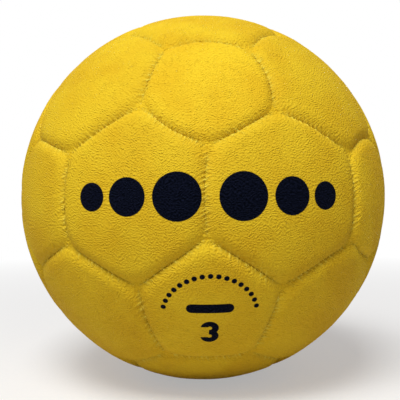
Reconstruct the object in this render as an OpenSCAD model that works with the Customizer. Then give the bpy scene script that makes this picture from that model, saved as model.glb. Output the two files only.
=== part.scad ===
// A stitched 32-panel handball: twelve pentagons and twenty hexagons sewn
// edge to edge round a rubber bladder with a plug valve.
// Millimetres. The origin is the centre of the ball and +Z is up. A hexagon
// to hexagon seam crosses -Y upright, with a pentagon above and below it.

/* [Ball] */
// Diameter over the crowns of the cover panels
ball_d = 188; // [150:1:200]

/* [Cover panels] */
// Thickness of the grained skin
skin_t = 1.6; // [1.2:0.1:2]
// Thickness of the turned-in edge that the thread holds
flange_t = 2; // [1.6:0.1:2.6]
// How far the turned-in edge stands in past the lining
flange_proud = 0.8; // [0.7:0.1:1.5]

/* [Backing] */
// Thickness of the foam pad under the skin
foam_t = 2; // [1:0.1:3]
// Thickness of the woven lining behind the foam
lining_t = 1.3; // [0.8:0.1:2]
// Glue film between one layer and the next
glue_t = 0.1; // [0.05:0.01:0.15]

/* [Seams] */
// Width of the flat floor where two turned-in edges meet
seam_floor_w = 1.6; // [1.5:0.1:2]
// Depth of the groove round a pentagon
pentagon_groove_h = 1.7; // [1.2:0.1:2]
// Width of the rounded shoulder beside a pentagon's groove
pentagon_shoulder_w = 4.5; // [3:0.1:6]
// Depth of the groove between two hexagons
hexagon_groove_h = 1.1; // [0.9:0.1:1.6]
// Width of the rounded shoulder beside a hexagon's groove
hexagon_shoulder_w = 3; // [2:0.1:5]
// How far the shoulder's arc tops out above the crown
shoulder_lift = 0.05; // [0.03:0.01:0.1]

/* [Stitches] */
// Diameter of the waxed thread
thread_d = 0.7; // [0.5:0.05:0.8]
// Length of thread that shows in one stitch
stitch_len = 1.9; // [1.4:0.1:2]
// Distance from one stitch to the next
stitch_pitch = 3.8; // [3:0.1:6]
// Slant of a stitch from the line of the seam, in degrees
stitch_slant = 40; // [20:1:45]
// Clearance between a stitch and the floor it lies on
stitch_gap = 0.03; // [0.01:0.01:0.05]

/* [Bladder] */
// Wall of the rubber bladder
bladder_t = 1.2; // [0.8:0.1:2]
// Clearance between the bladder and the turned-in edges
bladder_gap = 0.3; // [0.2:0.05:0.5]

/* [Valve] */
// Hole in the valve panel and its backing
valve_hole_d = 6.4; // [6.2:0.1:9]
// Stem of the rubber boot that shows in the hole
stem_d = 5.8; // [5.4:0.1:6]
// How far the stem's tip lies below the crown
stem_recess = 0.5; // [0.2:0.1:1]
// Disc of the boot that is bonded inside the bladder
boot_flange_d = 26; // [20:1:32]
// Thickness of that disc
boot_flange_t = 1.6; // [1:0.1:2.5]
// Barrel of the boot
barrel_d = 10; // [9:0.1:14]
// Length of the barrel below the disc
barrel_len = 12; // [11:0.5:20]
// Head of the plug, in the stem
plug_head_d = 3.8; // [3.4:0.1:4.2]
// Body of the plug, in the barrel
plug_body_d = 6.4; // [5.6:0.1:7]
// Length of the plug's body
plug_body_len = 10; // [8:0.5:10.5]
// Clearance between the plug and the boot
plug_gap = 0.05; // [0.03:0.01:0.08]
// Channel that a pump needle enters
needle_bore_d = 2.2; // [2:0.1:2.4]
// Depth of that channel from the plug's face
needle_bore_len = 14; // [10:0.5:15]
// How far the plug's face lies below the stem's tip
plug_recess = 0.3; // [0.1:0.1:0.6]
// Cloth disc that stiffens the lining round the valve
patch_d = 34; // [28:1:36]
// Thickness of the cloth disc
patch_t = 0.5; // [0.3:0.05:0.5]

/* [Hidden] */
ball_r = ball_d / 2;
foam_top_r = ball_r - skin_t - glue_t;
foam_base_r = foam_top_r - foam_t;
lining_top_r = foam_base_r - glue_t;
lining_base_r = lining_top_r - lining_t;
flange_tip_r = lining_base_r - flange_proud;
patch_top_r = lining_base_r - glue_t;
patch_base_r = patch_top_r - patch_t;
bladder_r = flange_tip_r - bladder_gap;
bladder_inner_r = bladder_r - bladder_t;
// Cuts run this far past the surface they open
overrun = 6;
// Angle by which a groove runs on past the corner where three seams meet
corner_reach = 4;

// Twelve directions of the pentagons, at the corners of an icosahedron
golden = (1 + sqrt(5)) / 2;
corners = [
    for (side = [-1, 1], end = [1, -1])
        each [[0, side * golden, end], [end, 0, side * golden], [side * golden, end, 0]]
];
// Two of these directions are next to each other when they are less than this apart
near = 2.1;
function unit(v) = v / norm(v);
function beside(i, j) = i != j && norm(corners[i] - corners[j]) < near;
function neighbours(i) = [for (j = [0 : len(corners) - 1]) if (beside(i, j)) j];

// Twenty directions of the hexagons, each held by the three corners round it
faces = [
    for (i = [0 : 11], j = [i + 1 : 1 : 11], k = [j + 1 : 1 : 11])
        if (beside(i, j) && beside(j, k) && beside(i, k)) [i, j, k]
];
function face_axis(f) = unit(corners[f[0]] + corners[f[1]] + corners[f[2]]);

// A corner of the seam pattern lies a third of the way from one pentagon to the next
function seam_corner(i, j) = unit(2 * corners[i] + corners[j]);

// A seam is the two corners that it joins; its half angle is seen from the centre
function seam_half_angle(s) = acos(s[0] * s[1]) / 2;
function seam_middle(s) = unit(s[0] + s[1]);

// Seams round one pentagon, and the two kinds of seam round one hexagon
function pentagon_edges(i) = [
    for (j = neighbours(i), k = neighbours(i))
        if (j < k && beside(j, k)) [seam_corner(i, j), seam_corner(i, k)]
];
function hexagon_edges_to_pentagons(f) = [
    for (turn = [0 : 2])
        [seam_corner(f[turn], f[(turn + 1) % 3]), seam_corner(f[turn], f[(turn + 2) % 3])]
];
function hexagon_edges_to_hexagons(f) = [
    for (turn = [0 : 2])
        [seam_corner(f[turn], f[(turn + 1) % 3]), seam_corner(f[(turn + 1) % 3], f[turn])]
];

// All seams of either kind, each once
pentagon_seams = [for (f = faces) each hexagon_edges_to_pentagons(f)];
hexagon_seams = [
    for (i = [0 : 11], j = [i + 1 : 1 : 11])
        if (beside(i, j)) [seam_corner(i, j), seam_corner(j, i)]
];

// The valve is in the hexagon next to the top, away from -Y
valve_side = [0, 0.36, 0.93];
valve_face = [for (f = faces) if (norm(face_axis(f) - valve_side) < 0.1) f][0];
valve_axis = face_axis(valve_face);

pentagon_names = [for (i = [1 : 12]) str("pentagon_panel_", i < 10 ? "0" : "", i)];
hexagon_names = [for (i = [1 : 20]) str("hexagon_panel_", i < 10 ? "0" : "", i)];

// Sides of the large round forms, of the valve hole and of a stitch
$fn = 96;
hole_sides = 48;
stitch_sides = 16;

cover_colour = [0.84, 0.7, 0.13];
thread_colour = [0.62, 0.5, 0.1];
foam_colour = [0.93, 0.92, 0.88];
lining_colour = [0.86, 0.84, 0.78];
bladder_colour = [0.16, 0.15, 0.15];
valve_colour = [0.1, 0.1, 0.1];

// Turns local X to a direction from the centre, and local Z to a seam plane's normal
module at_seam(out, normal) {
    along = cross(normal, out);
    multmatrix([
        [out[0], along[0], normal[0], 0],
        [out[1], along[1], normal[1], 0],
        [out[2], along[2], normal[2], 0],
        [0, 0, 0, 1]
    ])
        children();
}

// Turns local Z to a direction from the centre
module at_axis(axis) {
    side = unit(cross(axis, [1, 0, 0]));
    front = cross(side, axis);
    multmatrix([
        [front[0], side[0], axis[0], 0],
        [front[1], side[1], axis[1], 0],
        [front[2], side[2], axis[2], 0],
        [0, 0, 0, 1]
    ])
        children();
}

// Normal of a seam's plane, pointing away from the panel whose axis is given
function outward_normal(s, axis) =
    let (n = unit(cross(s[0], s[1]))) n * axis > 0 ? -n : n;

// Everything beyond a seam's plane, less an inset, as a block to cut away
module beyond_seam(s, axis, inset) {
    reach = ball_d + overrun;
    at_seam(seam_middle(s), outward_normal(s, axis))
        translate([-reach / 2, -reach / 2, -inset]) cube(reach);
}

// Ring that cuts the groove of one seam: a flat floor between two round shoulders
module seam_groove(s, axis, groove_h, shoulder_w) {
    shoulder_z = seam_floor_w / 2 + shoulder_w;
    top_r = sqrt(pow(ball_r, 2) - pow(shoulder_z, 2)) + shoulder_lift;
    floor_r = ball_r - groove_h;
    rise = top_r - floor_r;
    arc_r = (pow(shoulder_w, 2) + pow(rise, 2)) / (2 * rise);
    half = seam_half_angle(s) + corner_reach;
    at_seam(seam_middle(s), outward_normal(s, axis))
        rotate([0, 0, -half])
            rotate_extrude(angle = 2 * half)
                difference() {
                    translate([floor_r, -shoulder_z]) square([groove_h + overrun, shoulder_z + overrun]);
                    translate([top_r - arc_r, -shoulder_z]) circle(r = arc_r);
                }
}

// Layer between two spheres, inside all the seams of one panel less an inset
module layer(edges, axis, outer_r, inner_r, inset) {
    difference() {
        sphere(r = outer_r);
        sphere(r = inner_r);
        for (s = edges) beyond_seam(s, axis, inset);
    }
}

// Skin with its edges turned in: a shallow tray, open towards the bladder
module cover_panel(pentagon_sides, hexagon_sides, axis) {
    edges = concat(pentagon_sides, hexagon_sides);
    difference() {
        difference() {
            layer(edges, axis, ball_r, flange_tip_r, 0);
            for (s = pentagon_sides) seam_groove(s, axis, pentagon_groove_h, pentagon_shoulder_w);
            for (s = hexagon_sides) seam_groove(s, axis, hexagon_groove_h, hexagon_shoulder_w);
        }
        layer(edges, axis, ball_r - skin_t, flange_tip_r - overrun, flange_t);
    }
}

// Hole through every layer over the boot, from well inside the bladder outwards
module valve_hole() {
    at_axis(valve_axis)
        translate([0, 0, bladder_inner_r - overrun])
            cylinder(d = valve_hole_d, h = ball_r, $fn = hole_sides);
}

module pentagon_panel(i) {
    color(cover_colour) cover_panel(pentagon_edges(i), [], unit(corners[i]));
}

module hexagon_panel(i) {
    f = faces[i];
    color(cover_colour)
        difference() {
            cover_panel(hexagon_edges_to_pentagons(f), hexagon_edges_to_hexagons(f), face_axis(f));
            if (f == valve_face) valve_hole();
        }
}

module hexagon_layer(f, outer_r, inner_r, inset) {
    edges = concat(hexagon_edges_to_pentagons(f), hexagon_edges_to_hexagons(f));
    difference() {
        layer(edges, face_axis(f), outer_r, inner_r, inset);
        if (f == valve_face) valve_hole();
    }
}

module pentagon_foam_pads() {
    color(foam_colour)
        for (i = [0 : 11])
            layer(pentagon_edges(i), unit(corners[i]), foam_top_r, foam_base_r, flange_t + glue_t);
}

module hexagon_foam_pads() {
    color(foam_colour)
        for (f = faces) hexagon_layer(f, foam_top_r, foam_base_r, flange_t + glue_t);
}

module pentagon_linings() {
    color(lining_colour)
        for (i = [0 : 11])
            layer(pentagon_edges(i), unit(corners[i]), lining_top_r, lining_base_r, flange_t + glue_t);
}

module hexagon_linings() {
    color(lining_colour)
        for (f = faces) hexagon_layer(f, lining_top_r, lining_base_r, flange_t + glue_t);
}

// Short bars of thread that cross the floor of one seam at a slant
module stitches(s, groove_h) {
    half = seam_half_angle(s);
    thread_r = ball_r - groove_h + stitch_gap + thread_d / 2;
    count = floor(2 * half * PI / 180 * ball_r / stitch_pitch);
    step = 2 * half / count;
    at_seam(seam_middle(s), unit(cross(s[0], s[1])))
        for (i = [0 : count - 1])
            rotate([0, 0, (i + 0.5) * step - half])
                translate([thread_r, 0, 0])
                    rotate([90 - stitch_slant, 0, 0])
                        cylinder(d = thread_d, h = stitch_len, center = true, $fn = stitch_sides);
}

module pentagon_seam_thread() {
    color(thread_colour) for (s = pentagon_seams) stitches(s, pentagon_groove_h);
}

module hexagon_seam_thread() {
    color(thread_colour) for (s = hexagon_seams) stitches(s, hexagon_groove_h);
}

// Cloth disc glued to the lining round the valve hole
module valve_patch() {
    color(lining_colour)
        intersection() {
            difference() {
                sphere(r = patch_top_r);
                sphere(r = patch_base_r);
                valve_hole();
            }
            at_axis(valve_axis) cylinder(d = patch_d, h = ball_r);
        }
}

module bladder() {
    color(bladder_colour)
        difference() {
            sphere(r = bladder_r);
            sphere(r = bladder_inner_r);
            valve_hole();
        }
}

stem_tip = ball_r - stem_recess;
boot_top_r = bladder_inner_r - glue_t;
boot_flange_base = sqrt(pow(boot_top_r, 2) - pow(boot_flange_d / 2, 2)) - boot_flange_t;
barrel_base = boot_flange_base - barrel_len;
plug_shoulder = boot_flange_base - plug_gap;
plug_face = stem_tip - plug_recess;

// Rectangle of a turned piece: its half width, and the heights that it lies between
module turned(half_w, base, top) {
    translate([0, base]) square([half_w, top - base]);
}

// Rubber boot: a stem up through the hole, a disc inside the bladder, a barrel below
module valve_boot() {
    cavity_r = plug_body_d / 2 + plug_gap;
    color(valve_colour)
        at_axis(valve_axis)
            rotate_extrude()
                difference() {
                    union() {
                        intersection() {
                            circle(r = boot_top_r);
                            turned(boot_flange_d / 2, boot_flange_base, ball_r);
                        }
                        turned(stem_d / 2, barrel_base, stem_tip);
                        turned(barrel_d / 2, barrel_base, boot_flange_base);
                    }
                    turned(cavity_r, plug_shoulder - plug_body_len - plug_gap, boot_flange_base);
                    turned(plug_head_d / 2 + plug_gap, plug_shoulder, ball_r);
                }
}

// Soft plug with a blind needle channel; the web below the channel seals it
module valve_plug() {
    color(bladder_colour)
        at_axis(valve_axis)
            rotate_extrude()
                difference() {
                    union() {
                        turned(plug_body_d / 2, plug_shoulder - plug_body_len, plug_shoulder);
                        turned(plug_head_d / 2, plug_shoulder - plug_body_len, plug_face);
                    }
                    turned(needle_bore_d / 2, plug_face - needle_bore_len, ball_r);
                }
}

for (i = [0 : 11]) pentagon_panel(i);
for (i = [0 : 19]) hexagon_panel(i);
pentagon_foam_pads();
hexagon_foam_pads();
pentagon_linings();
hexagon_linings();
pentagon_seam_thread();
hexagon_seam_thread();
valve_patch();
bladder();
valve_boot();
valve_plug();
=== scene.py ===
import math
import bpy
import numpy as np
from mathutils import Matrix, Vector, noise


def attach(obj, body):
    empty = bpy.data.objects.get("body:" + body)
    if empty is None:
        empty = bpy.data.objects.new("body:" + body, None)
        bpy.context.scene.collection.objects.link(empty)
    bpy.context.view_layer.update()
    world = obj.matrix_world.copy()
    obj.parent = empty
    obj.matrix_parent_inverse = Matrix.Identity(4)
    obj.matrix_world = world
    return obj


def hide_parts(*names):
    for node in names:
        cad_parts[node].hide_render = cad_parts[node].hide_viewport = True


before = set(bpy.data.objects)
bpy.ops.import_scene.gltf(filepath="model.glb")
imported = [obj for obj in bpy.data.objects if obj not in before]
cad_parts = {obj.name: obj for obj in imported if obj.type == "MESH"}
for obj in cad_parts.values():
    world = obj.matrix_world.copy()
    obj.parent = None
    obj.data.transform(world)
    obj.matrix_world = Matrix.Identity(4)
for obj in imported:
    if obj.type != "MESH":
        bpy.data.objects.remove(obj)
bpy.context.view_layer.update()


# Bladder
# The air-tight balloon of the ball, dip moulded in butyl rubber and dusted with
# talc, so that it slides in the cover as it fills. It is black under the dust.
MM = 0.001


def linear(hex_colour):
    """Linear RGBA of an sRGB hex colour."""
    shares = [int(hex_colour[i : i + 2], 16) / 255 for i in (1, 3, 5)]
    return [c / 12.92 if c <= 0.04045 else ((c + 0.055) / 1.055) ** 2.4 for c in shares] + [1.0]


def add(tree, kind, inputs=None, stops=(), **settings):
    """A node with its settings, its input values and what feeds it: a socket, or a node's first output.

    The stops of a ramp are pairs of a position and a hex colour.
    """
    node = tree.nodes.new(kind)
    for name, value in settings.items():
        setattr(node, name, value)
    for i, (position, colour) in enumerate(stops):
        node.color_ramp.elements[i].position = position
        node.color_ramp.elements[i].color = linear(colour)
    for name, value in (inputs or {}).items():
        if isinstance(value, bpy.types.Node):
            value = value.outputs[0]
        if isinstance(value, bpy.types.NodeSocket):
            tree.links.new(value, node.inputs[name])
        else:
            node.inputs[name].default_value = value
    return node


def new_material(name):
    """An empty material, its node tree and the place on the object, in metres."""
    material = bpy.data.materials.new(name)
    material.use_nodes = True
    material.node_tree.nodes.clear()
    place = add(material.node_tree, "ShaderNodeTexCoord").outputs["Object"]
    return material, material.node_tree, place


def finish_material(tree, relief, depth, **sockets):
    """The Principled shader with these sockets and a relief of this depth, wired to the output."""
    bump = add(tree, "ShaderNodeBump", {"Height": relief, "Distance": depth})
    inputs = {name.replace("_", " "): value for name, value in sockets.items()}
    shader = add(tree, "ShaderNodeBsdfPrincipled", {"Normal": bump, **inputs})
    add(tree, "ShaderNodeOutputMaterial", {"Surface": shader})


def wear(node_name, material):
    """Gives a CAD node this material in place of its own."""
    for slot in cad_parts[node_name].material_slots:
        slot.material = material


# Talc lies in cloudy patches some 12 mm across, and gathers in 1 mm specks.
butyl, tree, place = new_material("dip_moulded_butyl")
cloud = add(tree, "ShaderNodeTexNoise", {"Vector": place, "Scale": 1 / (12 * MM), "Detail": 5.0})
speck = add(tree, "ShaderNodeTexNoise", {"Vector": place, "Scale": 1 / (1 * MM), "Detail": 2.0})
dust = add(tree, "ShaderNodeMath", {0: cloud, 1: speck}, operation="MULTIPLY")
powdered = add(tree, "ShaderNodeValToRGB", {"Fac": dust}, ((0.15, "#232122"), (0.45, "#5a5857")))
finish_material(tree, speck, 0.05 * MM, Base_Color=powdered, Roughness=0.62)
wear("bladder", butyl)


# Valve
# A boot of black rubber is bonded into the bladder, and its stem shows in a hole
# of one hexagon. A softer plug in the stem takes the pump's needle and seals it.
def moulded_rubber(name, dark, light, grit):
    """Compression-moulded rubber: matt, with the fine pits of a blasted mould."""
    material, tree, place = new_material(name)
    pits = add(tree, "ShaderNodeTexNoise", {"Vector": place, "Scale": 1 / grit, "Detail": 3.0})
    tone = add(tree, "ShaderNodeValToRGB", {"Fac": pits}, ((0.3, dark), (0.7, light)))
    finish_material(tree, pits, 0.03 * MM, Base_Color=tone, Roughness=0.5)
    return material


wear("valve_boot", moulded_rubber("moulded_valve_rubber", "#141414", "#2b2a2a", 0.5 * MM))
wear("valve_plug", moulded_rubber("soft_plug_rubber", "#2a2827", "#454240", 0.3 * MM))


# Linings and valve patch
# Each panel is backed by a plain weave of cotton and polyester, which stops the
# cover from stretching. A disc of the same cloth is glued on round the valve.
yarn_spacing = 0.7 * MM

# At scale 1, the bands of a wave texture lie this far apart.
wave_at_scale_1 = math.tau / 20

# The yarns cross in a fine ecru grid, a little greyer in the hollows between them.
canvas, tree, place = new_material("woven_cotton_lining")
yarns = [
    add(
        tree, "ShaderNodeTexWave",
        {"Vector": place, "Scale": wave_at_scale_1 / yarn_spacing, "Distortion": 0.3},
        bands_direction=direction,
    ).outputs["Fac"]
    for direction in "XZ"
]
weave = add(tree, "ShaderNodeMath", {0: yarns[0], 1: yarns[1]}, operation="MAXIMUM")
ecru = add(tree, "ShaderNodeValToRGB", {"Fac": weave}, ((0.0, "#b3ac98"), (1.0, "#e3decf")))
finish_material(tree, weave, 0.1 * MM, Base_Color=ecru, Roughness=0.85)
for node_name in ("pentagon_linings", "hexagon_linings", "valve_patch"):
    wear(node_name, canvas)


# Seam pattern
# Twelve pentagons lie round the corners of an icosahedron and twenty hexagons
# fill its faces. Three seams meet a third of the way from one pentagon to the next.
golden = (1 + math.sqrt(5)) / 2
pentagon_middles = [
    np.array(middle)
    for side in (-1, 1)
    for end in (1, -1)
    for middle in ((0, side * golden, end), (end, 0, side * golden), (side * golden, end, 0))
]
# By these numbers the nearest pentagons lie 2 apart, and the next ones 3.2.
next_door = 2.1
almost_upright = 0.99


def unit(v):
    """The vector at length 1."""
    return v / np.linalg.norm(v)


def beside(i, j):
    """True for two pentagons that one hexagon to hexagon seam joins."""
    return i != j and np.linalg.norm(pentagon_middles[i] - pentagon_middles[j]) < next_door


def level_at(direction):
    """The level direction along the ball's surface at a place."""
    if abs(direction[2]) < almost_upright:
        return unit(np.cross((0, 0, 1), direction))
    return np.array((1.0, 0, 0))


def seam_corner(i, j):
    """Where three seams meet, on the way from pentagon i to pentagon j."""
    return unit(2 * pentagon_middles[i] + pentagon_middles[j])


def leftwards(points, axis):
    """The points in order round an axis, turning left as seen from outside."""
    side = unit(np.cross(axis, points[0]))
    front = np.cross(side, axis)
    return sorted(points, key=lambda p: math.atan2(p @ side, p @ front))


# A panel is its name, its axis and its corners.
panels = []
for i, middle in enumerate(pentagon_middles):
    corners = leftwards([seam_corner(i, j) for j in range(12) if beside(i, j)], unit(middle))
    panels.append((f"pentagon_panel_{i + 1:02d}", unit(middle), corners))
triples = [
    (i, j, k)
    for i in range(12)
    for j in range(i + 1, 12)
    for k in range(j + 1, 12)
    if beside(i, j) and beside(j, k) and beside(i, k)
]
for i, triple in enumerate(triples):
    axis = unit(sum(pentagon_middles[j] for j in triple))
    corners = leftwards([seam_corner(j, k) for j in triple for k in triple if j != k], axis)
    panels.append((f"hexagon_panel_{i + 1:02d}", axis, corners))


def edges_of(corners):
    """Each edge of a panel as its two corners, in order."""
    return list(zip(corners, corners[1:] + corners[:1]))


# Relief of the cover
# The foam pushes each panel up like a cushion and the seams pull it down. The
# thread drags ridges out of the skin, and no seam lies quite where the pattern has it.
ball_r = 94 * MM
skin = 1.6 * MM
turn_in = 2 * MM
over_foam = 1.7 * MM
shoulder_depth = 1.8 * MM
shoulder_width = {5: 4.8 * MM, 6: 5.4 * MM}
corner_round = 2.8 * MM
corner_reach = 3.6 * MM
crease_depth = 0.24 * MM
crease_width = 0.5 * MM
ridge_height = 0.75 * MM
ridge_half = 0.42 * MM
ridge_slant = math.radians(60)
ridge_step = 1.8 * MM
ridge_scatter = 0.35 * MM
weaker_above = 0.55
pucker_sizes = [(3.4 * MM, 0.05 * MM), (2.3 * MM, 0.06 * MM), (1.6 * MM, 0.04 * MM)]
pucker_reach = 2.4 * MM
swell_height = 0.14 * MM
swell_length = 17 * MM
dimple_height = 0.03 * MM
dimple_length = 3.1 * MM
valve_axis = next(axis for node_name, axis, _ in panels if node_name == "hexagon_panel_18")
valve_dip = 0.35 * MM
valve_dip_reach = 5 * MM
half_seam = math.acos(panels[0][2][0] @ panels[0][2][1]) / 2
half_length = half_seam * ball_r
rng = np.random.default_rng(32)


def seam_name(a, b):
    """One name for a seam, whichever of its panels asks."""
    return tuple(sorted(tuple(np.round(v, 3) + 0.0) for v in (a, b)))


# A ridge is its place along the seam, its strength and its reach. Every second one is weak, and all
# are weaker on the panel above a seam. A pucker, which lies between the ridges, is its length, its
# height, its start and its lean.
seams = sorted({seam_name(a, b) for _, _, corners in panels for a, b in edges_of(corners)})
ridges = {}
puckers = {}
for seam in seams:
    spots = np.arange(-half_length, half_length, ridge_step)
    spots = spots + rng.normal(0, ridge_scatter, len(spots))
    strengths = rng.uniform(0.3, 1.0, len(spots)) * np.where(np.arange(len(spots)) % 2, 0.7, 1.1)
    ridges[seam] = list(zip(spots, strengths, rng.uniform(1.0, 2.8, len(spots)) * MM))
    puckers[seam] = [
        (length, height, rng.uniform(0, math.tau), rng.uniform(-0.4, 0.9))
        for length, height in pucker_sizes
    ]

# Pale streaks are painted along the seams, most of all on the ridges, and painted shade darkens the
# seams between the ridges. How far each reaches from the seam, and what a ridge adds or takes away:
paling_reach = 1.6 * MM
paling_between_ridges = 0.1
paling_on_ridge = 1.9
seam_shade_reach = 0.7 * MM
seam_shade_off_ridge = 1.6


def skin_drop(directions, corners):
    """How far the skin lies below the ball's sphere in each direction, its painted paling and its painted
    shade.

    A share near 1 is the full paling and the darkest painted shade.
    """
    near, folds, ridged = np.zeros((3, len(directions)))
    nearest = np.full(len(directions), ball_r)
    for a, b in edges_of(corners):
        inward = unit(np.cross(a, b))
        middle = unit(a + b)
        along = np.cross(inward, middle)
        gap = ball_r * np.arcsin(np.clip(directions @ inward, 0, 1))
        name = seam_name(a, b)
        forward = tuple(np.round(a, 3) + 0.0) == name[0]
        travel = ball_r * np.arctan2(directions @ along, directions @ middle) * (1 if forward else -1)
        near += np.exp(-gap / corner_round)
        nearest = np.minimum(nearest, gap)
        slanted = travel + (gap if forward else -gap) / math.tan(ridge_slant)
        pull = 1 - weaker_above * max(inward[2], 0)
        for spot, strength, reach in ridges[name]:
            across = (slanted - spot) * math.sin(ridge_slant)
            ridged += strength * pull * np.exp(-gap / reach - (across / ridge_half) ** 2)
        for wave_length, height, phase, lean in puckers[name]:
            pucker = np.sin(math.tau * (travel + lean * gap) / wave_length + phase)
            folds += height * (1 + pucker) * np.exp(-gap / pucker_reach)
    gap = np.maximum(-corner_round * np.log(near), 0)
    drop = shoulder_depth * np.clip(1 - gap / shoulder_width[len(corners)], 0, 1) ** 2
    from_corner = ball_r * np.min([np.linalg.norm(directions - c, axis=1) for c in corners], axis=0)
    drawn = 1 - np.exp(-((from_corner / corner_reach) ** 2))
    ridged *= drawn
    drop += crease_depth * np.exp(-nearest / crease_width) * drawn
    drop += folds - ridge_height * np.minimum(ridged, 1)
    from_valve = ball_r * np.linalg.norm(directions - valve_axis, axis=1)
    drop += valve_dip * np.exp(-((from_valve / valve_dip_reach) ** 2))
    for i, direction in enumerate(directions):
        place = Vector(direction) * ball_r
        drop[i] += swell_height + swell_height * noise.noise(place / swell_length)
        drop[i] += dimple_height * noise.noise(place / dimple_length)
    drop = np.where(nearest < turn_in, drop, np.minimum(drop, over_foam))
    # Pale streaks painted along the seams, most of all on the ridges.
    seam_paling = (paling_between_ridges + paling_on_ridge * ridged) * np.exp(-nearest / paling_reach)
    # Painted shade: the seams are darkened, most of all between the ridges.
    seam_shade = np.exp(-nearest / seam_shade_reach) * np.clip(1 - seam_shade_off_ridge * ridged, 0, 1)
    return drop, np.minimum(seam_paling, 1) * drawn, seam_shade * drawn


# How far the corners and the middles of the seams lie off the pattern, in mm to the right and up. On
# the front these were read off the photograph to half a millimetre. The others wander at random, and
# the seams round a pentagon bow outwards. A corner is two pentagons: it lies near the first.
seen_corners = {
    (0, 3): (-1.0, 2.0), (0, 5): (1.5, 1.0), (0, 7): (-0.5, -2.5), (0, 10): (1.0, -2.5),
    (0, 11): (-2.5, -1.0), (3, 0): (-1.5, 2.5), (3, 1): (2.0, -3.5), (3, 4): (-1.5, -3.5),
    (3, 5): (0.0, 0.5), (3, 11): (0.5, 0.0), (5, 0): (1.0, 0.5), (5, 3): (-0.5, -1.0),
    (5, 4): (-1.0, -2.5), (5, 10): (1.5, -2.0), (7, 0): (-1.0, -1.5), (10, 0): (1.0, -1.5),
    (11, 0): (2.5, 0.5), (11, 1): (0.0, 0.0), (11, 3): (3.5, -1.0), (11, 7): (0.0, -2.5),
}
seen_middles = {
    ((0, 3), (0, 5)): (-0.5, -0.5), ((0, 3), (0, 11)): (-1.0, 0.0), ((0, 3), (3, 0)): (-2.5, 1.5),
    ((0, 5), (0, 10)): (1.0, -0.5), ((0, 5), (5, 0)): (1.5, 0.5), ((0, 7), (0, 11)): (0.5, -1.5),
    ((0, 11), (11, 0)): (0.0, 0.0), ((3, 0), (3, 5)): (0.0, 2.5), ((3, 0), (3, 11)): (-0.5, 2.0),
    ((3, 1), (3, 4)): (0.0, -3.0), ((3, 4), (3, 5)): (-1.5, -1.0), ((3, 5), (5, 3)): (0.5, 0.0),
    ((3, 11), (11, 3)): (1.0, 0.5), ((5, 0), (5, 3)): (-0.5, 0.0), ((11, 0), (11, 3)): (3.5, 0.0),
}
corner_wander = 0.7
middle_wander = 0.5
pentagon_bow = 0.8

# Corners less than this apart are the two ends of one seam, and 11 mm from a corner or a middle the
# weight of its shift has fallen to a third.
seam_at_most = 2.2 * half_length
held_reach = 11 * MM
corner_of = {(i, j): seam_corner(i, j) for i in range(12) for j in range(12) if beside(i, j)}
held = []
for name, corner in corner_of.items():
    aside, up = seen_corners.get(name, rng.normal(0, corner_wander, 2))
    held.append((corner, aside, up))
for first in corner_of:
    for second in corner_of:
        apart = ball_r * np.linalg.norm(corner_of[first] - corner_of[second])
        if first < second and apart < seam_at_most:
            middle = unit(corner_of[first] + corner_of[second])
            bow = np.zeros(3)
            if first[0] == second[0]:
                bow = unit(middle - unit(pentagon_middles[first[0]])) * pentagon_bow
            level = level_at(middle)
            aside = bow @ level + rng.normal(0, middle_wander)
            up = bow @ np.cross(middle, level) + rng.normal(0, middle_wander)
            held.append((middle, *seen_middles.get((first, second), (aside, up))))
held.append((valve_axis, 0, 0))
held_places = np.array([place for place, _, _ in held])
moves = np.array([
    (level_at(place) * aside + np.cross(place, level_at(place)) * up) * MM
    for place, aside, up in held
])
under_pads = ball_r - 3.7 * MM
under_skin_edge = ball_r - 3.0 * MM


def as_sewn(points):
    """The points moved with the seams near them; what lies under the pads stays on the pattern."""
    radii = np.linalg.norm(points, axis=1)[:, None]
    squares = 2 * ball_r**2 * (1 - (points / radii) @ held_places.T)
    weights = np.exp(-squares / held_reach**2)
    move = weights @ moves / weights.sum(axis=1, keepdims=True)
    outer = np.clip((radii - under_pads) / (under_skin_edge - under_pads), 0, 1)
    moved = points + move * outer
    return moved / np.linalg.norm(moved, axis=1)[:, None] * radii


plain_steps, coarse_steps = ((32, 8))


def loop(axis, corners, share, per_side):
    """Directions round a panel, this share of the way from its middle to its edges."""
    flat = np.array([c / (c @ axis) for c in corners])
    ahead = np.roll(flat, -1, axis=0)
    steps = np.arange(per_side)[None, :, None] / per_side
    rim = (flat[:, None] + (ahead - flat)[:, None] * steps).reshape(-1, 3)
    out = axis + (rim - axis) * share
    return out / np.linalg.norm(out, axis=1)[:, None]


def shares_of(axis, corners, gaps):
    """The share of the way out that leaves each of these gaps to the edge, in mm."""
    rim = math.acos(unit(corners[0] + corners[1]) @ axis)
    return [1 - gap * MM / (ball_r * math.sin(rim) * math.cos(rim)) for gap in gaps]


def ring(axis, corners, radius):
    """Directions on a circle of this radius round a panel's middle, spread as in the panel's loops."""
    near_middle = loop(axis, corners, 0.1, coarse_steps)
    spokes = near_middle / (near_middle @ axis)[:, None] - axis
    spokes *= radius / ball_r / np.linalg.norm(spokes, axis=1)[:, None]
    return (axis + spokes) / np.linalg.norm(axis + spokes, axis=1)[:, None]


def panel_loops(axis, corners, hole_rings, shares):
    """Directions from a panel's middle, or from the rings round its hole, out towards its edges."""
    first = [ring(axis, corners, radius) for radius in hole_rings] or [axis[None]]
    return first + [loop(axis, corners, *share) for share in shares]


def under_skin(loops, corners, depth):
    """The loops as points this far under the skin's outer face, and how the skin lies there."""
    directions = np.vstack(loops)
    drop, *seam_tints = skin_drop(directions, corners)
    points = directions * (ball_r - drop - depth)[:, None]
    ends = np.cumsum([len(one_loop) for one_loop in loops])[:-1]
    return np.split(points, ends), seam_tints


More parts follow.
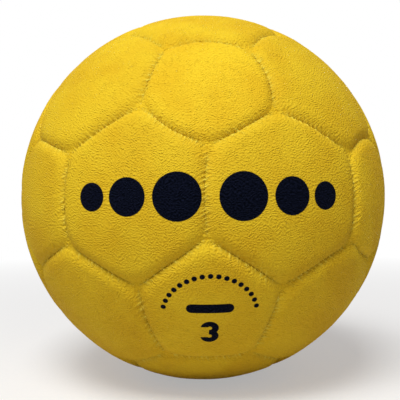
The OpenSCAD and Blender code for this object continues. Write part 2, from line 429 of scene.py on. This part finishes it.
def strip(first, count, follow, follow_count):
    """Faces between two loops of points, of which one may have several times as many."""
    if count == follow_count:
        return [
            (first + j, follow + j, follow + (j + 1) % count, first + (j + 1) % count)
            for j in range(count)
        ]
    flip = count > follow_count
    coarse, fine = (follow, first) if flip else (first, follow)
    few, many = sorted((count, follow_count))
    times = many // few
    faces = []
    for j in range(few):
        for k in range(times):
            near = coarse + (j if k < times / 2 else j + 1) % few
            faces.append((near, fine + j * times + k, fine + (j * times + k + 1) % many))
        if few > 1:
            half = fine + j * times + math.ceil(times / 2)
            faces.append((coarse + j, half, coarse + (j + 1) % few))
    return [face[::-1] for face in faces] if flip else faces


def closed_stack(loops):
    """A closed mesh through loops of points: it ends in two points, or its last loop meets its first."""
    sizes = [len(points) for points in loops]
    starts = [int(start) for start in np.cumsum([0, *sizes])]
    faces = []
    for i in range(len(loops) - 1):
        faces += strip(starts[i], sizes[i], starts[i + 1], sizes[i + 1])
    if sizes[0] > 1:
        faces += strip(starts[-2], sizes[-1], 0, sizes[0])
    return np.vstack(loops), faces


def make_piece(name, points, faces, material):
    """A smooth-shaded object in the scene that rides on the ball."""
    mesh = bpy.data.meshes.new(name)
    mesh.from_pydata(points.tolist(), [], faces)
    mesh.shade_smooth()
    mesh.materials.append(material)
    piece = bpy.data.objects.new(name, mesh)
    bpy.context.scene.collection.objects.link(piece)
    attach(piece, "root")
    return piece


# Foam pads
# A sheet of open-cell foam under the skin of each panel makes the ball easy to
# grip with one hand. It is cut from a slab, so its open cells show all over.
foam_cell = 0.9 * MM
foam, tree, place = new_material("open_cell_foam")
cells = add(tree, "ShaderNodeTexVoronoi", {"Vector": place, "Scale": 1 / foam_cell})
cream = add(tree, "ShaderNodeValToRGB", {"Fac": cells}, ((0.0, "#cfcbb9"), (1.0, "#f0ede0")))
finish_material(tree, cells, 0.2 * MM, Base_Color=cream, Roughness=0.9)
middle_shares = [(share, coarse_steps) for share in (0.25, 0.5, 0.7)]
pad_gaps = [6.4, 4.6, 3.2, 2.05]
glue = 0.1 * MM
valve_hole_d = 6.4 * MM
for kind in ("pentagon", "hexagon"):
    points, faces, count = [], [], 0
    for node_name, axis, corners in panels:
        if not node_name.startswith(kind):
            continue
        shares = middle_shares + [(share, plain_steps) for share in shares_of(axis, corners, pad_gaps)]
        rings = [valve_hole_d / 2] if axis is valve_axis else []
        loops = panel_loops(axis, corners, rings, shares)
        top, _ = under_skin(loops, corners, skin + glue)
        pad, pad_faces = closed_stack(top + [directions * under_pads for directions in reversed(loops)])
        points.append(as_sewn(pad))
        faces += [tuple(index + count for index in face) for face in pad_faces]
        count += len(pad)
    pads = make_piece(f"foam_{kind}_pads", np.vstack(points), faces, foam)
    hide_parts(f"{kind}_foam_pads")


# Grained skin
# Polyurethane on a microfibre base, embossed with fine worm-like wrinkles and
# buffed matt for grip. The wrinkles run along the sheet that a panel is cut from.
wrinkle_spacing = 1.15 * MM
wrinkles_in_patch = 1.4
wrinkle_depth = 0.5 * MM
skin_gloss = 0.12
ink_gloss = 0.03


def mixed(tree, share, first, second, blend="MIX"):
    """The first colour with this share of the second blended in, as a socket."""
    colours = {"Factor": share, 6: first, 7: second}
    mix = add(tree, "ShaderNodeMix", colours, data_type="RGBA", blend_type=blend)
    return mix.outputs[2]


def grained_skin(name, print_on=None):
    """The yellow skin, inked where print_on gives 1."""
    material, tree, place = new_material(name)
    sheet = add(tree, "ShaderNodeAttribute", attribute_name="place_on_sheet").outputs["Vector"]

    # The wrinkles bend by up to 4 mm within 6 mm, with 0.7 mm pebbles among them.
    drift = add(tree, "ShaderNodeTexNoise", {"Vector": sheet, "Scale": 1 / (6 * MM), "Detail": 1.0})
    bend = add(
        tree, "ShaderNodeVectorMath", {0: drift.outputs["Color"], "Scale": 4 * MM}, operation="SCALE"
    )
    bent = add(tree, "ShaderNodeVectorMath", {0: sheet, 1: bend})

    # Two inputs of the texture are called Orientation. This is the number of the flat one's.
    flat_turn = 4
    worms = add(
        tree, "ShaderNodeTexGabor",
        {
            "Vector": bent, "Scale": 1 / (wrinkle_spacing * wrinkles_in_patch),
            "Frequency": wrinkles_in_patch, "Anisotropy": 0.4, flat_turn: math.pi / 2,
        },
        gabor_type="2D",
    )
    pebble = add(tree, "ShaderNodeTexNoise", {"Vector": sheet, "Scale": 1 / (0.7 * MM), "Detail": 2.0})
    grain = add(tree, "ShaderNodeMath", {0: worms, 1: 1.2, 2: pebble}, operation="MULTIPLY_ADD")
    height = add(tree, "ShaderNodeMapRange", {"Value": grain, "From Min": 0.5, "From Max": 1.7})

    # Yellow, a little lighter on the grain's ridges, in 22 mm clouds and in each panel's tone, which on
    # six panels holds painted light and shade too.
    yellow = add(tree, "ShaderNodeValToRGB", {"Fac": height}, ((0.2, "#e6ba1e"), (0.7, "#f2c927")))
    cloud = add(tree, "ShaderNodeTexNoise", {"Vector": place, "Scale": 1 / (22 * MM), "Detail": 3.0})
    mottle = add(tree, "ShaderNodeValToRGB", {"Fac": cloud}, ((0.35, "#f6eedb"), (0.6, "#ffffff")))
    colour = mixed(tree, 1.0, yellow, mottle, "MULTIPLY")
    tone = add(tree, "ShaderNodeAttribute", attribute_name="tone").outputs["Fac"]
    colour = add(tree, "ShaderNodeVectorMath", {0: colour, "Scale": tone}, operation="SCALE")

    # Painted shade in the seams, an olive darkening, and pale streaks about 1 mm long painted along them.
    painted_seam_shade = add(tree, "ShaderNodeAttribute", attribute_name="painted_seam_shade").outputs["Fac"]
    # Painted shade: an olive darkening mixed into the seams.
    seam_shade_share = add(tree, "ShaderNodeMath", {0: painted_seam_shade, 1: 0.6}, operation="MULTIPLY")
    colour = mixed(tree, seam_shade_share, colour, linear("#ab951c"))
    seam_paling = add(tree, "ShaderNodeAttribute", attribute_name="seam_paling").outputs["Fac"]
    streaks = add(tree, "ShaderNodeTexNoise", {"Vector": place, "Scale": 1 / (1.1 * MM), "Detail": 1.0})
    streaks = add(
        tree, "ShaderNodeMapRange",
        {"Value": streaks, "From Min": 0.4, "From Max": 0.6, "To Min": 0.15, "To Max": 0.85},
    )
    # The pale colour is painted along the seams, most of all on the ridges.
    pale = add(tree, "ShaderNodeMath", {0: streaks, 1: seam_paling}, operation="MULTIPLY")
    colour = mixed(tree, pale, colour, linear("#f0de58"))

    # Ink covers all of this, and leaves the grain's relief.
    gloss = skin_gloss
    if print_on:
        # The ink is painted lighter on the grain's ridges: a painted highlight.
        ink_with_highlight = add(tree, "ShaderNodeValToRGB", {"Fac": height}, ((0.3, "#01030b"), (0.95, "#14182c")))
        share = print_on(tree, place)
        colour = mixed(tree, share, colour, ink_with_highlight)
        gloss = add(
            tree, "ShaderNodeMapRange", {"Value": share, "To Min": skin_gloss, "To Max": ink_gloss}
        )
    rough = add(tree, "ShaderNodeMapRange", {"Value": height, "To Min": 0.85, "To Max": 0.7})
    finish_material(
        tree, height, wrinkle_depth, Base_Color=colour, Roughness=rough, Specular_IOR_Level=gloss
    )
    return material


# Cover panels
# Each is cut from the skin, glued to its foam and lining, turned in along its
# edges and sewn to its neighbours, so it stands like a cushion between its seams.
flange = 5.9 * MM
fine_steps = 128

# How far from the edge the loops of points lie, in mm: on the crown, on the shoulder and underneath.
crown_gaps = [20, 18.6, 17.2, 15.8, 14.4, 13, 11.6, 10, 8.6, 7.3]
shoulder_gaps = [6.2, 5.3, 4.4, 3.6, 2.9, 2.3, 1.8, 1.4, 1.05, 0.75, 0.5, 0.28, 0.12, 0.03]
under_gaps = [2, 2.6, 3.6, 5, 7]

# How far from the valve's hole the rings of points lie, and how far the first two dip into it.
lip_rings = [0, 0.12 * MM, 0.35 * MM, 1.2 * MM, 2.8 * MM]
lip_falls = [0.35 * MM, 0.1 * MM]
sheet_lean = 0.5


def sheet_turn(axis):
    """Turns a panel so that its own level direction lies along X."""
    level = level_at(axis)
    return Matrix((level, unit(np.cross(axis, level)), axis))


def mark_points(piece, name, values):
    """Gives every point of a piece a number that its material reads by this name."""
    piece.data.attributes.new(name, "FLOAT", "POINT").data.foreach_set("value", values)


def cover_panel(name, axis, corners, material):
    """The closed skin of one panel: crown, shoulders, turned-in edge and underside."""
    crown = [(share, plain_steps) for share in shares_of(axis, corners, crown_gaps)]
    shoulder = [(share, fine_steps) for share in shares_of(axis, corners, shoulder_gaps)]
    inner = [(crown[0][0] * left, coarse_steps) for left in (0.25, 0.5, 0.75)]
    rings = []
    if axis is valve_axis:
        inner = inner[-1:]
        rings = [valve_hole_d / 2 + away for away in lip_rings]
    upper = panel_loops(axis, corners, rings, inner + crown + shoulder)
    points, seam_tints = under_skin(upper, corners, 0)
    for i, fall in zip(range(len(rings)), lip_falls):
        points[i] *= 1 - fall / ball_r
    under = [(share, plain_steps) for share in shares_of(axis, corners, under_gaps)]
    edge = loop(axis, corners, shoulder[-1][0], plain_steps)
    fold = loop(axis, corners, *under[0])
    points += [edge * under_pads, edge * (ball_r - flange), fold * (ball_r - flange), fold * under_pads]
    lower = panel_loops(axis, corners, rings[:1], inner + under[::-1])
    points += under_skin(lower, corners, skin)[0][::-1]
    points, faces = closed_stack(points)
    piece = make_piece(name, as_sewn(points), faces, material)
    lean = Matrix.Rotation(rng.uniform(-sheet_lean, sheet_lean), 3, Vector(axis))
    turn = np.array(lean @ sheet_turn(axis))
    offset = rng.uniform(-1, 1, 3)
    sheet = piece.data.attributes.new("place_on_sheet", "FLOAT_VECTOR", "POINT")
    sheet.data.foreach_set("vector", (points @ turn.T + offset).ravel())
    for seam_tint_name, seam_tint in zip(("seam_paling", "painted_seam_shade"), seam_tints):
        values = np.zeros(len(points))
        values[: len(seam_tint)] = seam_tint
        mark_points(piece, seam_tint_name, values)
    return piece


buffed = grained_skin("buffed_pu_skin")
covers = {}
for node_name, axis, corners in panels:
    piece = cover_panel("cover_" + node_name, axis, corners, buffed)
    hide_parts(node_name)
    covers[node_name] = piece

# Panels come from different places on the roll, so each has a tone of its own. Six
# of these were matched to the photograph, so they hold painted light and shade too: two pentagons
# lighter, four panels darker. The rest are drawn at random.
tone_spread = 0.015
tones_with_painted_light = {
    "pentagon_panel_01": 1.06, "hexagon_panel_01": 0.98, "hexagon_panel_02": 0.98,
    "hexagon_panel_05": 0.98, "pentagon_panel_06": 0.98, "pentagon_panel_12": 1.08,
}
# The six matched tones paint in light and shade on top of each panel's own tone.
for node_name, piece in covers.items():
    tone = tones_with_painted_light.get(node_name, rng.normal(1, tone_spread))
    mark_points(piece, "tone", np.full(len(piece.data.vertices), tone))


# Print
# Ink rolled through a screen on to the flat panels before they were sewn, and painted a little lighter on
# the grain's ridges as a painted highlight. The marks are plain: discs, dots, a bar and the ball's size.
ink_edge = 0.12 * MM


def printed_where(tree, distance, limit):
    """1 where a distance is less than the limit, with a fine soft edge."""
    edges = {"Value": distance, "From Min": limit + ink_edge, "From Max": limit - ink_edge}
    return add(tree, "ShaderNodeMapRange", edges)


def towards(across, up):
    """A direction from the ball's middle, in degrees to the right of the front and above level."""
    across, up = math.radians(across), math.radians(up)
    return Vector((math.sin(across) * math.cos(up), -math.cos(across) * math.cos(up), math.sin(up)))


# A disc is its place across the front, in degrees, and its diameter.
discs_up = 0.4
discs = [(side * across, d * MM) for side in (-1, 1) for across, d in ((8.2, 20), (21.0, 16), (31.1, 12))]

# The dots lie on an arc. The bar and the numeral lie in it, on the flat that faces the same way.
arc_middle = towards(0, -31.8)
arc_up = Vector((0, arc_middle.z, -arc_middle.y))
arc_r = 19.8 * MM
arc_from, arc_to = 12, 168
arc_dots = 17
dot_d = 2.3 * MM
bar_w, bar_h, bar_up = 20 * MM, 4.6 * MM, 4.4 * MM
numeral_h, numeral_stroke, numeral_up = 12.6 * MM, 2.9 * MM, -8.9 * MM
bowl_r = (numeral_h - numeral_stroke) / 4
bowl_opens_at = 0.25 * bowl_r
bowl_opens_left_of = -0.3 * MM


def front_print(tree, place):
    """1 on every printed mark, 0 elsewhere."""
    round_marks = [(towards(across, discs_up) * ball_r, d) for across, d in discs]
    arc_centre = arc_middle * math.sqrt(ball_r**2 - arc_r**2)
    for i in range(arc_dots):
        angle = math.radians(arc_from + (arc_to - arc_from) * i / (arc_dots - 1))
        spoke = Vector((1, 0, 0)) * math.cos(angle) + arc_up * math.sin(angle)
        round_marks.append((arc_centre + arc_r * spoke, dot_d))
    marks = []
    for spot, d in round_marks:
        gap = add(tree, "ShaderNodeVectorMath", {0: place, 1: spot}, operation="DISTANCE")
        marks.append(printed_where(tree, gap.outputs["Value"], d / 2))

    # The bar: how far a point lies from the line between the middles of its round ends.
    sides = add(tree, "ShaderNodeSeparateXYZ", {"Vector": place})
    right = sides.outputs["X"]
    up = add(tree, "ShaderNodeVectorMath", {0: place, 1: arc_up}, operation="DOT_PRODUCT").outputs["Value"]
    aside = add(tree, "ShaderNodeMath", {0: right}, operation="ABSOLUTE")
    past_end = add(tree, "ShaderNodeMath", {0: aside, 1: (bar_w - bar_h) / 2}, operation="SUBTRACT")
    past_end = add(tree, "ShaderNodeMath", {0: past_end, 1: 0.0}, operation="MAXIMUM")
    off_line = add(tree, "ShaderNodeMath", {0: up, 1: bar_up}, operation="SUBTRACT")
    off_bar = add(tree, "ShaderNodeCombineXYZ", {"X": past_end, "Y": off_line})
    off_bar = add(tree, "ShaderNodeVectorMath", {0: off_bar}, operation="LENGTH").outputs["Value"]
    flat_marks = [printed_where(tree, off_bar, bar_h / 2)]

    # The numeral 3: an upper and a lower ring, each open on the left towards the other.
    for side in (1, -1):
        rise = add(tree, "ShaderNodeMath", {0: up, 1: numeral_up + side * bowl_r}, operation="SUBTRACT")
        spoke = add(tree, "ShaderNodeCombineXYZ", {"X": right, "Y": rise})
        spoke = add(tree, "ShaderNodeVectorMath", {0: spoke}, operation="LENGTH").outputs["Value"]
        off_ring = add(tree, "ShaderNodeMath", {0: spoke, 1: bowl_r}, operation="SUBTRACT")
        off_ring = add(tree, "ShaderNodeMath", {0: off_ring}, operation="ABSOLUTE")
        ring = printed_where(tree, off_ring, numeral_stroke / 2)
        outer = add(tree, "ShaderNodeMath", {0: rise, 1: float(side)}, operation="MULTIPLY")
        outer = add(tree, "ShaderNodeMath", {0: outer, 1: bowl_opens_at}, operation="GREATER_THAN")
        on_right = add(tree, "ShaderNodeMath", {0: right, 1: bowl_opens_left_of}, operation="GREATER_THAN")
        closed = add(tree, "ShaderNodeMath", {0: outer, 1: on_right}, operation="MAXIMUM")
        flat_marks.append(add(tree, "ShaderNodeMath", {0: ring, 1: closed}, operation="MULTIPLY"))

    # Bar and numeral would come out at the back too, so they are kept to the front half.
    front = add(tree, "ShaderNodeMath", {0: sides.outputs["Y"], 1: 0.0}, operation="LESS_THAN")
    for mark in flat_marks:
        marks.append(add(tree, "ShaderNodeMath", {0: mark, 1: front}, operation="MULTIPLY"))
    share = marks[0]
    for mark in marks[1:]:
        share = add(tree, "ShaderNodeMath", {0: share, 1: mark}, operation="MAXIMUM")
    return share


printed = grained_skin("screen_printed_pu_skin", front_print)
for node_name in ("hexagon_panel_01", "hexagon_panel_02", "pentagon_panel_04"):
    covers[node_name].data.materials[0] = printed


# Seam thread
# Waxed polyester cord of two plies, sewn through the turned-in edges and pulled
# tight. Each stitch crosses its seam at a slant and sinks into both shoulders.
thread_d = 0.6 * MM

# Each ply lies this far off the cord's middle, and is thick enough to press into the other.
ply_off_middle = thread_d / 4
ply_r = thread_d / 3.6
thread_sunk = 2.4 * MM
stitch_half = 1.25 * MM
stitch_sag = 0.55 * MM
stitch_slant = math.radians(40)
stitch_pitch = 3.8 * MM
stitches = int(2 * half_length // stitch_pitch)
stitch_step = 2 * half_length / stitches
turns_in_stitch = 1.5
ply_steps, ply_sides = ((9, 6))

# The wax makes it smoother than the skin, and the plies' fuzz shows through as lighter flecks.
waxed, tree, place = new_material("waxed_polyester_thread")
fuzz = add(tree, "ShaderNodeTexNoise", {"Vector": place, "Scale": 1 / (0.35 * MM), "Detail": 3.0})
amber = add(tree, "ShaderNodeValToRGB", {"Fac": fuzz}, ((0.3, "#e6c43e"), (0.7, "#f8de5c")))
finish_material(tree, fuzz, 0.04 * MM, Base_Color=amber, Roughness=0.5)


def by_pentagon(a, b):
    """True for a seam with a pentagon on one side of it: its corners share that pentagon."""
    nearest = [max(range(12), key=lambda j: unit(pentagon_middles[j]) @ c) for c in (a, b)]
    return nearest[0] == nearest[1]


def stitch_points(centre, run, up):
    """Two plies twisted round each other on an arch that sinks at both ends."""
    side = unit(np.cross(up, run))
    points, faces = [], []
    for ply in (0, math.pi):
        start = len(points)
        for i in range(ply_steps):
            share = 2 * i / (ply_steps - 1) - 1
            path = centre + run * share * stitch_half - up * (stitch_sag * share**2)
            twist = ply + share * math.pi * turns_in_stitch
            path = path + (side * math.cos(twist) + up * math.sin(twist)) * ply_off_middle
            for k in range(ply_sides):
                angle = math.tau * k / ply_sides
                points.append(path + (side * math.cos(angle) + up * math.sin(angle)) * ply_r)
        for i in range(ply_steps - 1):
            for k in range(ply_sides):
                a, b = start + i * ply_sides, start + (i + 1) * ply_sides
                faces.append((a + k, a + (k + 1) % ply_sides, b + (k + 1) % ply_sides, b + k))
        faces.append(tuple(start + k for k in reversed(range(ply_sides))))
        end = start + (ply_steps - 1) * ply_sides
        faces.append(tuple(end + k for k in range(ply_sides)))
    return np.array(points), faces


for kind in ("pentagon", "hexagon"):
    points, faces, count = [], [], 0
    for a, b in seams:
        a, b = unit(np.array(a)), unit(np.array(b))
        if by_pentagon(a, b) != (kind == "pentagon"):
            continue
        normal, middle = unit(np.cross(a, b)), unit(a + b)
        along = np.cross(normal, middle)
        for i in range(stitches):
            turn = ((i + 0.5) * stitch_step - half_length) / ball_r
            up = middle * math.cos(turn) + along * math.sin(turn)
            ahead = along * math.cos(turn) - middle * math.sin(turn)
            run = normal * math.sin(stitch_slant) - ahead * math.cos(stitch_slant)
            cord, cord_faces = stitch_points(up * (ball_r - thread_sunk), run, up)
            points.append(as_sewn(cord))
            faces += [tuple(index + count for index in face) for face in cord_faces]
            count += len(cord)
    piece = make_piece(f"waxed_{kind}_seam_thread", np.vstack(points), faces, waxed)
    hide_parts(f"{kind}_seam_thread")


# Camera
# Level with the middle of the ball and 354 mm from it, a little to the left of the seam
# between the two front hexagons. Its numbers were fitted to the seams and the outline.
camera_away = 354.1 * MM
camera_round, camera_above, camera_roll = -1.86, 0.19, -0.41
picture_w = 400
camera = bpy.data.objects.new("camera", bpy.data.cameras.new("camera"))
camera.data.sensor_width = 36
camera.data.lens = 59.57
camera.data.shift_x = -2.91 / picture_w
camera.data.shift_y = -2.73 / picture_w
level_turn = Matrix.Rotation(math.radians(camera_round), 4, "Z")
upright = Matrix.Rotation(math.radians(90 - camera_above), 4, "X")
back = Matrix.Translation((0, 0, camera_away))
roll = Matrix.Rotation(math.radians(camera_roll), 4, "Z")
camera.matrix_world = level_turn @ upright @ back @ roll
bpy.context.scene.collection.objects.link(camera)
bpy.context.scene.camera = camera


# Studio
# A large soft lamp high on the left, a white room and a white floor, which the
# camera and reflections see at full white while the ball gets a plain soft light.
lamp_place = Vector((-0.23, -0.71, 1.09))
lamp = bpy.data.lights.new("key_lamp", "AREA")
lamp.shape = "SQUARE"
lamp.size = 0.6
lamp.energy = 17.9
lamp.color = linear("#f7ffff")[:3]
key_lamp = bpy.data.objects.new("key_lamp", lamp)
key_lamp.location = lamp_place
key_lamp.rotation_euler = lamp_place.to_track_quat("Z", "Y").to_euler()
bpy.context.scene.collection.objects.link(key_lamp)


def seen_directly(tree):
    """1 for a ray from the camera, a reflection or a view through glass."""
    path = add(tree, "ShaderNodeLightPath")
    share = path.outputs["Is Camera Ray"]
    for name in ("Is Glossy Ray", "Is Transmission Ray"):
        share = add(tree, "ShaderNodeMath", {0: share, 1: path.outputs[name]}, operation="MAXIMUM")
    return share


# The room lights the ball with this share of the white that it shows to the camera.
room_light = 0.17
room = bpy.data.worlds.new("white_room")
room.use_nodes = True
tree = room.node_tree
tree.nodes.clear()
seen = seen_directly(tree)
strength = add(tree, "ShaderNodeMapRange", {"Value": seen, "To Min": room_light, "To Max": 1.0})
room_tint = add(tree, "ShaderNodeValToRGB", {"Fac": seen}, ((0.0, "#fff5f1"), (1.0, "#ffffff")))
glow = add(tree, "ShaderNodeBackground", {"Color": room_tint, "Strength": strength})
add(tree, "ShaderNodeOutputWorld", {"Surface": glow})
bpy.context.scene.world = room

# Matt paper, with a glow of its own for the camera that fills out to plain white away from the ball.
floor_w = 12
paper_glow = 0.4
shaded_within, white_beyond = 0.15, 0.7
paper, tree, place = new_material("white_paper_floor")
seen = seen_directly(tree)
tooth = add(tree, "ShaderNodeTexNoise", {"Vector": place, "Scale": 1 / (2 * MM), "Detail": 2.0})
fibre = add(tree, "ShaderNodeValToRGB", {"Fac": tooth}, ((0.0, "#c6c1c1"), (1.0, "#ccc7c6")))
paper_face = add(tree, "ShaderNodeBsdfDiffuse", {"Color": fibre})
away = add(tree, "ShaderNodeVectorMath", {0: place}, operation="LENGTH").outputs["Value"]
reach = {"Value": away, "From Min": shaded_within, "From Max": white_beyond}
far = add(tree, "ShaderNodeMapRange", reach)
glow = add(tree, "ShaderNodeEmission", {"Color": linear("#ffffff"), "Strength": paper_glow})
near_floor = add(tree, "ShaderNodeAddShader", {0: paper_face, 1: glow})
white = add(tree, "ShaderNodeEmission", {"Color": linear("#ffffff"), "Strength": 1.0})
shown = add(tree, "ShaderNodeMixShader", {"Fac": far, 1: near_floor, 2: white})
both = add(tree, "ShaderNodeMixShader", {"Fac": seen, 1: paper_face, 2: shown})
add(tree, "ShaderNodeOutputMaterial", {"Surface": both})
bpy.ops.mesh.primitive_plane_add(size=floor_w, location=(0, 0, -ball_r))
floor = bpy.context.object
floor.name = "floor"
floor.data.materials.append(paper)

bpy.context.scene.view_settings.view_transform = "Standard"
